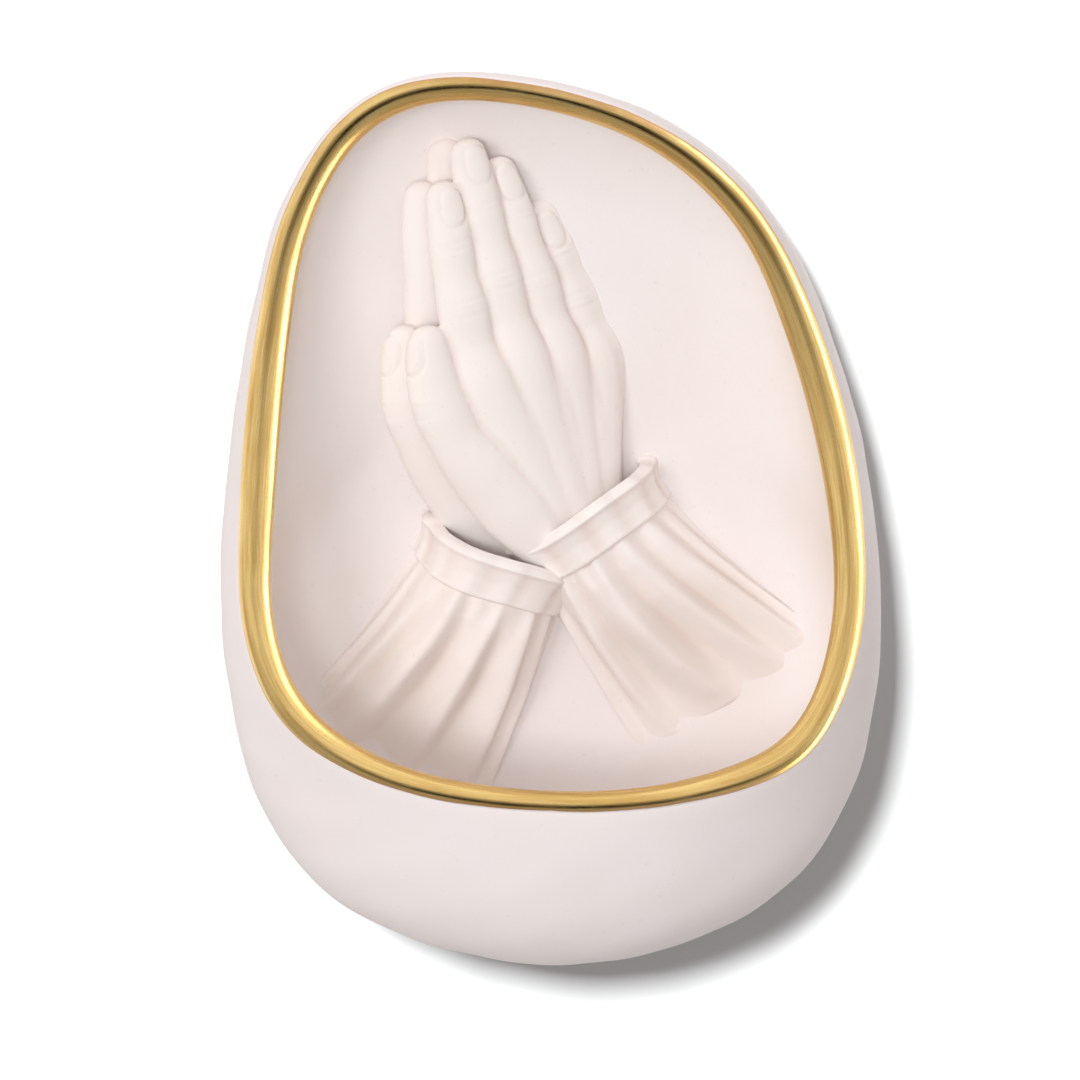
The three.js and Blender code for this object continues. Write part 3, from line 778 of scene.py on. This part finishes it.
def sleeve(side, name):
    piece, turn, share, middle = cloth_tube(name, 220, 110)
    half = SLEEVE_FLARE * np.interp(share, SLEEVE_ROWS, SLEEVE_WIDTHS)
    rise = SLEEVE_RISE * np.interp(share, SLEEVE_ROWS, SLEEVE_RISES)
    ripple = cloth_folds(side, turn, share) * np.interp(share, *FOLD_RISES)
    gathered = PLEAT_HEIGHT * bell(share - PLEAT_MIDDLE, PLEAT_LENGTH)
    pleats = gathered * np.sin(17 * turn + 1.5 * np.sin(3 * turn))
    run = CUFF_HEIGHT - SLEEVE_TUCK + SLEEVE_LENGTH * share
    reach = (half + 0.5 * ripple) * middle
    forward = np.where(np.sin(turn) > 0, rise + ripple + pleats, SLEEVE_BACK) * middle
    move_points(piece, along_arm(side, run, reach * np.cos(turn), forward * np.sin(turn)))
    outwards(piece)
    soften(piece, 0.5, 8)
    spread_foot(piece, 2.2)
    note_hollow_shade(piece, 0.85, 14)
    fade_foot(piece, 5.0)
    cut_back(piece)
    return piece


for side, word in ((RIGHT, "right"), (LEFT, "left")):
    finish_piece(hand(side, word + "_hand_relief"), word + "_hand", relief_bisque_painted_light_and_shade)
    finish_piece(cuff(side, word + "_cuff_relief"), word + "_cuff", relief_bisque_painted_light_and_shade)
    finish_piece(sleeve(side, word + "_sleeve_relief"), word + "_sleeve", relief_bisque_painted_light_and_shade)

finish_piece(shell, "outer_shell", cast_bisque)
finish_piece(niche, "niche_liner", niche_bisque_painted_shade)
finish_piece(back, "back_plate", cast_bisque)
finish_piece(lip, "gilt_rim", brushed_gold)

# Stage: a pale wall that is seen from the front only
WALL_SIZE = 4
WALL_GAP = 0.3
WALL_TONE = (0.5, 0.515, 0.52, 1)

bpy.ops.object.select_all(action="DESELECT")
bpy.ops.mesh.primitive_plane_add(size=WALL_SIZE, location=(0, WALL_GAP * MM, 0), rotation=(math.pi / 2, 0, 0))
backdrop = bpy.context.object
backdrop.name = "backdrop"
backdrop.visible_diffuse = False
backdrop.visible_shadow = False
wall = bpy.data.materials.new("white_wall")
wall_nodes = Nodes(wall)
wall_surface = wall.node_tree.nodes["Principled BSDF"]
wall_nodes.put(wall_surface, "Base Color", WALL_TONE)
wall_nodes.put(wall_surface, "Roughness", 1.0)
wall_nodes.put(wall_surface, "Specular IOR Level", 0.0)
from_behind = wall_nodes.add("NewGeometry", {}, {}, "Backfacing")
painted = Shade(wall_nodes, wall_surface.outputs["BSDF"])
clear = wall_nodes.add("BsdfTransparent", {}, {}, "BSDF")
shown = wall_nodes.add("MixShader", {}, {0: from_behind, 1: painted, 2: clear}, "Shader")
wall_nodes.put(wall.node_tree.nodes["Material Output"], "Surface", shown)
backdrop.data.materials.append(wall)

# Lamps: the wall has a far lamp of its own, which draws the shadow, and the other lamps leave it out
LAMP_AIM = Vector((0, -0.02, -0.015))

wall_only = bpy.data.collections.new("wall_only")
wall_only.objects.link(backdrop)
all_but_wall = bpy.data.collections.new("all_but_wall")
all_but_wall.objects.link(backdrop)
all_but_wall.collection_objects[0].light_linking.link_state = "EXCLUDE"


def lamp(name, place, size, energy, lights):
    light = bpy.data.lights.new(name, "AREA")
    light.energy = energy
    light.size = size
    holder = bpy.data.objects.new(name, light)
    bpy.context.scene.collection.objects.link(holder)
    holder.location = place
    holder.rotation_euler = (LAMP_AIM - Vector(place)).to_track_quat("-Z", "Y").to_euler()
    holder.visible_glossy = False
    holder.light_linking.receiver_collection = lights


lamp("key", (-0.58, -0.9, 0.3), 0.4, 3.15, all_but_wall)
lamp("front", (-0.14, -1.05, 0.16), 0.2, 2.1, all_but_wall)
lamp("behind", (0.25, 1.0, 0.4), 0.6, 4.2, all_but_wall)
lamp("wall_wash", (-0.85, -4.0, 2.05), 0.56, 450, wall_only)

# Room: even, a little darker below and in the east, and white to the camera. The gold mirrors it with a
# window in the east and a dark place straight ahead
ROOM_BELOW = 0.44
ROOM_ABOVE = 0.81
ROOM_EAST = 0.16
ROOM_TONE = (1.0, 0.93, 0.905, 1)
MIRROR_BELOW = 0.5
MIRROR_ABOVE = 1.05
MIRROR_WINDOW = 5
MIRROR_AHEAD = 0.7

world = bpy.data.worlds.new("studio")
bpy.context.scene.world = world
room = Nodes(world)
seen = room.add("LightPath", {}, {}, "Is Camera Ray")
mirrored = room.add("LightPath", {}, {}, "Is Glossy Ray")
towards = room.add("TexCoord", {}, {}, "Generated")
east = room.part(towards, "X")
front = 0 - room.part(towards, "Y")
sky = room.part(towards, "Z")
level = ROOM_BELOW + (ROOM_ABOVE - ROOM_BELOW) * room.within(sky, -0.7, 0.7)
level = level - ROOM_EAST * room.within(east, 0.1, 0.9)
window = room.within(east, 0.45, 0.75) * (1 - room.within(front, 0.3, 0.5))
glow = MIRROR_BELOW + (MIRROR_ABOVE - MIRROR_BELOW) * room.within(sky, -0.3, 0.3)
glow = glow + MIRROR_WINDOW * window - MIRROR_AHEAD * room.within(front, 0.86, 0.98)
background = world.node_tree.nodes["Background"]
room.put(background, "Color", room.mix(seen + mirrored, ROOM_TONE, WHITE))
room.put(background, "Strength", level + seen * (1 - level) + mirrored * (glow - level))

camera = bpy.data.objects.new("camera", bpy.data.cameras.new("camera"))
bpy.context.scene.collection.objects.link(camera)
camera.location = (-0.00175, -0.88095, 0.26086)
camera.rotation_euler = (math.radians(72), 0, 0)
camera.data.lens = 171.6
camera.data.sensor_width = 36
bpy.context.scene.camera = camera

bpy.context.scene.view_settings.view_transform = "Standard"
